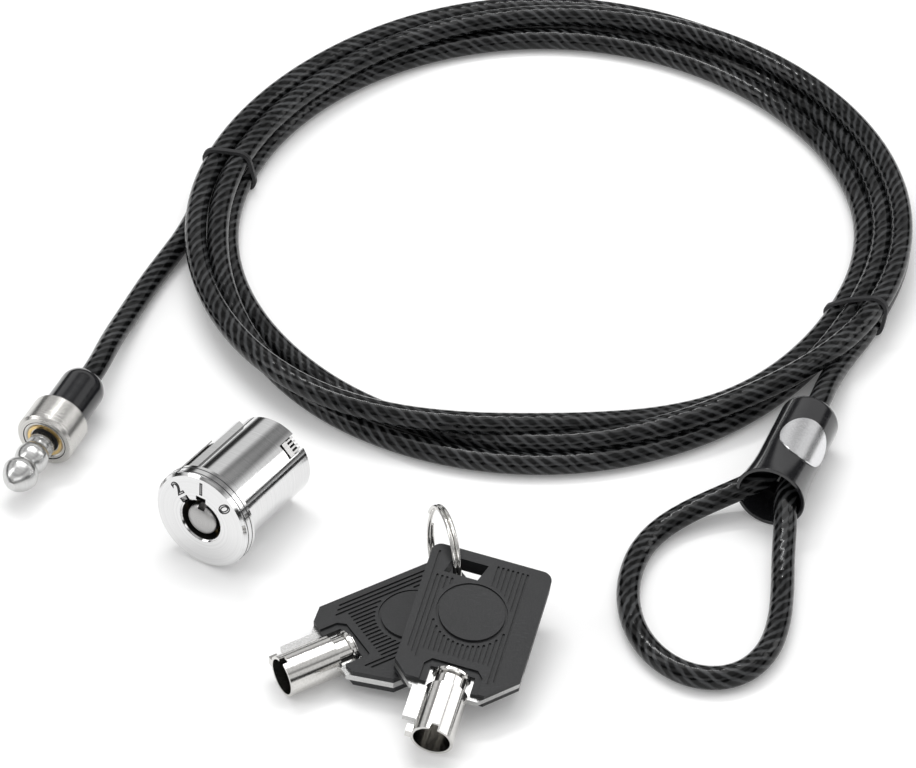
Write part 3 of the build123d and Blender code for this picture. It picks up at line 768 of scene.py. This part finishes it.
def hullOf(points):
    # The outline that a stretched band takes round the points.
    ordered = sorted(set((round(x, 4), round(y, 4)) for x, y in points))

    def half(sequence):
        chain = []
        for p in sequence:
            while len(chain) > 1 and (
                (chain[-1][0] - chain[-2][0]) * (p[1] - chain[-2][1])
                - (chain[-1][1] - chain[-2][1]) * (p[0] - chain[-2][0])
            ) <= 0:
                chain.pop()
            chain.append(p)
        return chain[:-1]

    return half(ordered) + half(ordered[::-1])


def evenly(outline, count):
    # The same closed outline with evenly spaced points.
    points = np.array(outline + outline[:1])
    steps = np.hypot(*np.diff(points, axis=0).T)
    travelled = np.concatenate([[0], np.cumsum(steps)])
    wanted = np.linspace(0, travelled[-1], count, endpoint=False)
    columns = (np.interp(wanted, travelled, points[:, column]) for column in (0, 1))
    return list(zip(*columns))


def bandPiece(name, angle):
    x = math.cos(math.radians(angle))
    y = math.sin(math.radians(angle))
    origin = Vector((band["centre"][0], band["centre"][1], 0)) * mm
    outward = Vector((x, y, 0))
    across = Vector((-y, x, 0))
    crossing = []
    for before, after in zip(cableLine, cableLine[1:]):
        a = (before - origin).dot(across)
        b = (after - origin).dot(across)
        if a * b <= 0 and a != b and (before - origin).dot(outward) > 0:
            place = before.lerp(after, a / (a - b)) - origin
            crossing.append((place.dot(outward) / mm, place.z / mm))
    ringPoints = []
    for reach, height in crossing:
        for step in range(36):
            turn = math.radians(10 * step)
            side = band["inner"] * math.cos(turn)
            rise = band["inner"] * math.sin(turn)
            ringPoints.append((reach + side, max(0.02, height + rise)))
    outline = evenly(hullOf(ringPoints), band["points"])
    middle = np.mean(outline, axis=0)
    half = band["width"] / 2
    profile = [(0, -half), (0, half), (1, half - band["edge"]), (1, -half + band["edge"])]
    vertices = []
    faces = []
    for reach, height in outline:
        away = np.array((reach, height)) - middle
        away = away / np.hypot(*away)
        for out, side in profile:
            shift = out * band["thickness"]
            place = origin + outward * (reach + away[0] * shift) * mm + across * side * mm
            place.z = max(0.0, (height + away[1] * shift) * mm)
            vertices.append(place)
    for i in range(band["points"]):
        after = (i + 1) % band["points"]
        for row in range(4):
            nextRow = (row + 1) % 4
            faces.append((4 * i + row, 4 * after + row, 4 * after + nextRow, 4 * i + nextRow))
    piece = meshPiece(name + "_stretched", vertices, faces)
    cleanUp(piece)
    return finishPiece(piece, finishes["rubber"], "band_rubber", "cable", name)


for label, angle in band["places"].items():
    bandPiece(label, angle)
print("bands made")


# ferrule cover, rounded at the top and flared at the mouth

cover = {
    "radius": 5.9,
    "mouth": 6.95,
    "wall": 0.8,
    "round": 1.9,
    "flareStart": 15.5,
    "hole": 2.3,
    "depth": 3.3,
}


def coverOutline():
    outline = [(cover["hole"], 0.0)]
    for step in range(9):
        turn = math.pi / 2 * step / 8
        corner = cover["radius"] - cover["round"]
        outline.append((corner + cover["round"] * math.sin(turn), cover["round"] * (1 - math.cos(turn))))
    flare = cover["mouth"] - cover["radius"]
    inner = []
    for step in range(13):
        share = step / 12
        height = cover["flareStart"] + (ferruleLength - 0.25 - cover["flareStart"]) * share
        radius = cover["radius"] + flare * share**1.8
        outline.append((radius, height))
        inner.append((radius - cover["wall"], height))
    outline += [(cover["mouth"] - 0.1, ferruleLength - 0.05), (cover["mouth"] - 0.4, ferruleLength)]
    outline += [(cover["mouth"] - 0.7, ferruleLength - 0.05)] + inner[::-1]
    return outline + [(cover["radius"] - cover["wall"], cover["depth"]), (cover["hole"], cover["depth"])]


ferruleCover = lathePiece("ferrule_cover_rounded", ferruleFrame, coverOutline(), 112, True, 40)
legPath = tubePiece("leg_path", everyStep(loopLine, 0.0012), cover["hole"] * mm, cable["sides"])
cutAway(ferruleCover, legPath)
finishPiece(ferruleCover, finishes["vinyl"], "black_vinyl", "cable", "ferrule_cover")


# plug details

def plugRings():
    # The two gap rings are flat dark rings painted as the shade in the collar's gaps; the washer is brass.
    rings = {
        "collar_gap_shade": ("paintedShade", "turned_steel", 4.62, 4.44, 10.22, 10.34),
        "collar_inner_gap_shade": ("paintedShade", "turned_steel", 2.85, 2.1, 10.42, 10.50),
        "collar_washer": ("brass", "turned_steel", 3.62, 3.05, 10.30, 10.52),
    }
    for label, (finish, slot, outer, inner, low, high) in rings.items():
        outline = [(inner, low), (outer, low), (outer, high), (inner, high)]
        finishPiece(lathePiece(label, plugFrame, outline, 80, True), finishes[finish], slot, "cable")
    seam = [(3.52, -0.07), (3.58, -0.05), (3.58, 0.05), (3.52, 0.07)]
    seamPiece = lathePiece("ball_seam", plugFrame, seam, 80, True)
    finishPiece(seamPiece, finishes["bare"], "polished_steel", "locking_pin")


plugRings()


# badge, a blank disc that follows the ferrule

badge = {
    "centre": 13.0,
    "radius": 5.5,
    "turn": 30.0,
    "inner": 5.88,
    "thickness": 0.42,
    "edge": 0.14,
    "rings": 14,
}


def badgePiece():
    vertices = []
    faces = []
    steps = 72

    def place(reach, angle, radius):
        around = math.radians(90 - badge["turn"]) + reach * math.sin(angle) / badge["inner"]
        along = badge["centre"] + reach * math.cos(angle)
        return at(ferruleFrame, radius * math.cos(around), radius * math.sin(around), along)

    outer = badge["inner"] + badge["thickness"]
    rim = badge["radius"]
    rows = [(rim * (i + 1) / badge["rings"], outer) for i in range(badge["rings"] - 1)]
    rows += [(rim - badge["edge"], outer), (rim, outer - badge["edge"]), (rim, badge["inner"])]
    vertices.append(place(0.0, 0.0, outer))
    for reach, radius in rows:
        for step in range(steps):
            vertices.append(place(reach, 2 * math.pi * step / steps, radius))
    for step in range(steps):
        after = (step + 1) % steps
        faces.append((0, 1 + step, 1 + after))
        for row in range(len(rows) - 1):
            low = 1 + row * steps
            faces.append((low + step, low + steps + step, low + steps + after, low + after))
    piece = meshPiece("ferrule_badge_disc", vertices, faces, 28)
    cleanUp(piece)
    return finishPiece(piece, finishes["badge"], "badge_silver", "cable", "ferrule_badge")


badgePiece()


# split ring, two close turns of wire with an end step

ringWire = {"radius": 8.5, "wire": 0.42, "pitch": 0.84, "points": 150, "turns": 1.93, "startAngle": 20.0}


def splitRing():
    line = []
    total = ringWire["turns"]
    for step in range(ringWire["points"] + 1):
        share = step / ringWire["points"]
        turn = total * share
        angle = math.radians(ringWire["startAngle"]) + 2 * math.pi * turn
        shift = ringWire["pitch"] * (1 / (1 + math.exp(-(turn - total / 2) * 16)) - 0.5)
        line.append(at(
            ringFrame, ringWire["radius"] * math.cos(angle), ringWire["radius"] * math.sin(angle), shift
        ))
    piece = tubePiece("split_ring_wire", line, ringWire["wire"] * mm, 12)
    return finishPiece(piece, finishes["nickel"], "key_nickel", "ring", "split_ring")


splitRing()


# key heads

head = {
    "groovePitch": 0.95,
    "grooveWidth": 0.46,
    "grooveDepth": 0.28,
    "left": -9.3,
    "right": 8.6,
    "bottom": -14.6,
    "top": 11.9,
    "thickness": 3.6,
    "discLine": (6.25, 6.75),
    "discLineDepth": 0.25,
    "discClear": 7.3,
    "slotCentre": (-3.6, 9.4),
    "slotRoom": (4.9, 2.9),
    "pocketHalf": 5.6,
    "pocketTop": -11.6,
    "pocketHeights": (-18.5, -13.4, -12.0),
    "pocketCorner": 1.2,
    "pocketDepth": 0.45,
    "neckPlace": -14.2,
}


def grooveSpans(x):
    # The stretches of one groove that miss the disc, the slot and the barrel's pocket.
    spans = []
    start = None
    y = head["bottom"]
    while y <= head["top"]:
        slotX, slotY = head["slotCentre"]
        inSlot = abs(x - slotX) < head["slotRoom"][0] and abs(y - slotY) < head["slotRoom"][1]
        inDisc = math.hypot(x, y) < head["discClear"]
        inPocket = abs(x) < head["pocketHalf"] + 1.0 and y < head["pocketTop"] + 1.0
        lower = head["bottom"] + max(0.0, abs(x - 0.7) - 6.0) * 0.9
        free = not (inSlot or inDisc or inPocket) and y > lower
        if free and start is None:
            start = y
        if not free and start is not None:
            spans.append((start, y))
            start = None
        y += 0.1
    if start is not None:
        spans.append((start, head["top"]))
    return [span for span in spans if span[1] - span[0] > 1.2]


def slotOutline(x, low, high, half):
    # A narrow slot with round ends.
    outline = []
    for step in range(7):
        turn = math.pi * step / 6
        outline.append((x + half * math.cos(turn), high - half + half * math.sin(turn)))
    for step in range(7):
        turn = math.pi + math.pi * step / 6
        outline.append((x + half * math.cos(turn), low + half + half * math.sin(turn)))
    return outline


def grooveCutter(place):
    vertices = []
    faces = []
    top = head["thickness"] / 2
    x = head["left"]
    while x <= head["right"]:
        for low, high in grooveSpans(x):
            outline = slotOutline(x, low, high, head["grooveWidth"] / 2)
            upper = (top - head["grooveDepth"], top + 0.5)
            lower = (-top - 0.5, -top + head["grooveDepth"])
            for bottom, cap in (upper, lower):
                first = len(vertices)
                count = len(outline)
                vertices += [at(place, px, py, bottom) for px, py in outline]
                vertices += [at(place, px, py, cap) for px, py in outline]
                faces.append(tuple(first + i for i in reversed(range(count))))
                faces.append(tuple(first + count + i for i in range(count)))
                for i in range(count):
                    after = (i + 1) % count
                    faces.append((first + i, first + after, first + count + after, first + count + i))
        x += head["groovePitch"]
    return meshPiece("grooves", vertices, faces)


def pocketCutter(place, side):
    # The rounded trapezoid that is sunk round the barrel's root.
    half = head["pocketHalf"]
    mouth, shoulder, roof = head["pocketHeights"]
    corner = half - head["pocketCorner"]
    outline = [(-half, mouth), (half, mouth), (half, shoulder), (corner, roof), (-corner, roof), (-half, shoulder)]
    top = side * head["thickness"] / 2
    low, high = sorted((top - side * head["pocketDepth"], top + side * 1.0))
    return prismPiece("pocket", place, outline, low, high)


def discCutter(place, side):
    # The fine line sunk round the blank disc.
    top = side * (head["thickness"] / 2)
    low, high = sorted((top - side * head["discLineDepth"], top + side * 0.15))
    inner, outer = head["discLine"]
    return lathePiece("disc_line", place, [(inner, low), (outer, low), (outer, high), (inner, high)], 72, True)


def keyHead(label):
    place = keyFrames[label]
    piece = nodeCopy(label + "_head", label + "_head_grooved")
    cutAway(piece, grooveCutter(place))
    for side in (1, -1):
        cutAway(piece, pocketCutter(place, side))
        cutAway(piece, discCutter(place, side))
    finishPiece(piece, finishes["keyPlastic"], "key_plastic", label, label + "_head")
    neck = place @ Matrix.Translation((0, head["neckPlace"] * mm, 0)) @ spinAbout(90, "X")
    collar = lathePiece(
        label + "_neck_ring", neck,
        [(3.15, -0.5), (3.55, -0.5), (3.75, -0.25), (3.75, 0.25), (3.55, 0.5), (3.15, 0.5)], 48, True,
    )
    finishPiece(collar, finishes["nickel"], "key_nickel", label)


for label in keyFrames:
    keyHead(label)
print("keys made")


# lock face and rear window

lock = {
    "digits": {"2": 45.0, "1": 90.0, "0": 135.0},
    "digitRadius": 7.5,
    "digitSize": 3.9,
    "digitLine": 0.13,
    "edgeRadius": 10.47,
    "edgeHalf": 0.1,
    "edgeDepth": 0.1,
    "grooveShadeHeights": {"flange_groove_shade": 0.95, "flange_back_groove_shade": 2.2},
    "keywayShade": (4.40, 4.44, 0.45, 5.3),  # inner and outer radius, low and high
    "postRadius": 3.27,
    "windowAngle": 132.0,
    "windowShadeBlock": (6.5, 7.3, 1.55),  # inner and outer reach, half width
    "windowHeights": (21.75, 24.2),
    "ribReach": 8.2,
    "ribHalf": 0.18,
    "ribPitch": 0.8,
    "ribCount": 4,
}


def faceDigit(character, angle):
    out = Vector((math.cos(math.radians(angle)), math.sin(math.radians(angle)), 0))
    normal = Vector((0, 0, -1))
    across = out.cross(normal)
    turn = Matrix((across, out, normal)).transposed().to_4x4()
    font = bpy.data.curves.new("digit_" + character, "FONT")
    font.body = character
    font.size = lock["digitSize"] * mm
    font.align_x = "CENTER"
    font.align_y = "CENTER"
    font.fill_mode = "NONE"
    font.bevel_depth = lock["digitLine"] * mm
    font.bevel_resolution = 2
    text = bpy.data.objects.new("digit_" + character, font)
    scene.collection.objects.link(text)
    text.matrix_world = lockFrame @ Matrix.Translation(out * lock["digitRadius"] * mm) @ turn
    bpy.context.view_layer.update()
    depsgraph = bpy.context.evaluated_depsgraph_get()
    mesh = bpy.data.meshes.new_from_object(text.evaluated_get(depsgraph))
    mesh.transform(text.matrix_world)
    bpy.data.objects.remove(text)
    piece = bpy.data.objects.new("face_digit_" + character, mesh)
    scene.collection.objects.link(piece)
    return finishPiece(piece, finishes["inkAndGrooveShade"], "lock_chrome", "lock")


for character, angle in lock["digits"].items():
    faceDigit(character, angle)

# A flat dark sheet inside the keyway, painted as the shade in the bore.
inner, outer, low, high = lock["keywayShade"]
keywayShadeOutline = [(inner, low), (outer, low), (outer, high), (inner, high)]
keywayShade = lathePiece("keyway_shadow", lockFrame, keywayShadeOutline, 96, True)
finishPiece(keywayShade, finishes["paintedShade"], "lock_chrome", "lock")


def postDome():
    # The rounded end of the spindle's post, with its notch.
    outline = [(0.0, -0.35)]
    for step in range(1, 13):
        turn = math.pi / 2 * step / 12
        outline.append((lock["postRadius"] * math.sin(turn), 0.75 - 1.1 * math.cos(turn)))
    outline += [(lock["postRadius"], 0.8), (0.0, 0.8)]
    dome = lathePiece("post_dome", lockFrame, outline, 72, False, 50)
    notch = [(-0.75, 2.55), (0.75, 2.55), (0.75, 4.0), (-0.75, 4.0)]
    cutAway(dome, prismPiece("notch", lockFrame, notch, -1.0, 1.5))
    finishPiece(dome, finishes["post"], "bare_steel", "spindle")


def windowRibs():
    # The block behind the side window, flat dark as painted shade inside the lock, with its upright ribs.
    turn = lockFrame @ spinAbout(lock["windowAngle"], "Z")
    inner, face, half = lock["windowShadeBlock"]
    low, high = lock["windowHeights"]
    outline = [(inner, -half), (face, -half), (face, half), (inner, half)]
    block = prismPiece("window_shade_block", turn, outline, low, high)
    finishPiece(block, finishes["paintedShade"], "bare_steel", "lock")
    half = lock["ribHalf"]
    reach = lock["ribReach"]
    for number in range(lock["ribCount"]):
        middle = lock["ribPitch"] * (number - (lock["ribCount"] - 1) / 2)
        outline = [(face, middle - half), (reach, middle - half), (reach, middle + half), (face, middle + half)]
        rib = prismPiece("window_rib_" + str(number + 1), turn, outline, low, high - 0.1)
        finishPiece(rib, finishes["bare"], "bare_steel", "lock")


postDome()
windowRibs()
# Flat dark bands at the flange's groove lines, painted as the shade inside the grooves.
outer = lock["edgeRadius"]
inner = outer - lock["edgeDepth"]
for label, height in lock["grooveShadeHeights"].items():
    low = height - lock["edgeHalf"]
    high = height + lock["edgeHalf"]
    groove = lathePiece(label, lockFrame, [(inner, low), (outer, low), (outer, high), (inner, high)], 128, True)
    finishPiece(groove, finishes["inkAndGrooveShade"], "lock_chrome", "lock")
print("lock made")


# floor and light

def whiteFloor():
    material, tree, shader = newMaterial("floor")
    shader.inputs["Base Color"].default_value = (0.92, 0.92, 0.92, 1)
    shader.inputs["Emission Color"].default_value = (1, 1, 1, 1)
    shader.inputs["Emission Strength"].default_value = 0.09  # keeps the floor white in the corners
    shader.inputs["Roughness"].default_value = 0.9
    half = 3.0
    corners = [(-half, -half, 0), (half, -half, 0), (half, half, 0), (-half, half, 0)]
    floor = meshPiece("floor", corners, [(0, 1, 2, 3)])
    floor.data.materials.append(material)


lights = {
    "top": {"place": (0.05, 0.25, 0.9), "aim": (0, 0.02, 0), "size": (0.9, 0.5), "power": 2.6},
    "strip": {"place": (-0.1, 0.42, 0.8), "aim": (0, 0.02, 0), "size": (0.5, 0.03), "power": 1.7},
    "left": {"place": (-0.8, -0.1, 0.55), "aim": (0, 0.02, 0), "size": (0.25, 0.7), "power": 1.5},
    "right": {"place": (0.85, 0.2, 0.5), "aim": (0, 0.02, 0), "size": (0.2, 0.8), "power": 1.0},
    "front": {"place": (-0.1, -0.9, 0.45), "aim": (0, 0, 0), "size": (0.9, 0.25), "power": 0.7},
}


def addLights():
    for label, light in lights.items():
        lamp = bpy.data.lights.new(label, "AREA")
        lamp.shape = "RECTANGLE"
        lamp.size, lamp.size_y = light["size"]
        lamp.energy = light["power"]
        body = bpy.data.objects.new(label, lamp)
        body.location = light["place"]
        direction = Vector(light["aim"]) - Vector(light["place"])
        body.rotation_euler = direction.to_track_quat("-Z", "Y").to_euler()
        scene.collection.objects.link(body)


def paleSky():
    # Bright above with a darker belt, so that the metals show both.
    world = bpy.data.worlds.new("studio")
    scene.world = world
    world.use_nodes = True
    tree = world.node_tree
    place = put(tree, "ShaderNodeTexCoord")
    split = put(tree, "ShaderNodeSeparateXYZ")
    ramp = put(tree, "ShaderNodeValToRGB")
    belts = (
        (0.0, 0.6), (0.10, 0.03), (0.26, 0.06), (0.36, 0.95),
        (0.60, 1.0), (0.68, 0.22), (0.80, 0.9), (1.0, 1.0),
    )
    elements = ramp.color_ramp.elements
    while len(elements) < len(belts):
        elements.new(0.5)
    for element, (position, value) in zip(elements, belts):
        element.position = position
        element.color = (value, value, value, 1)
    wire(tree, place.outputs["Generated"], split.inputs[0])
    wire(tree, split.outputs["Z"], ramp.inputs[0])
    sky = tree.nodes["Background"]
    wire(tree, ramp.outputs[0], sky.inputs["Color"])
    sky.inputs["Strength"].default_value = 0.8


whiteFloor()
addLights()
paleSky()
scene.view_settings.view_transform = "Standard"
print("stage made")
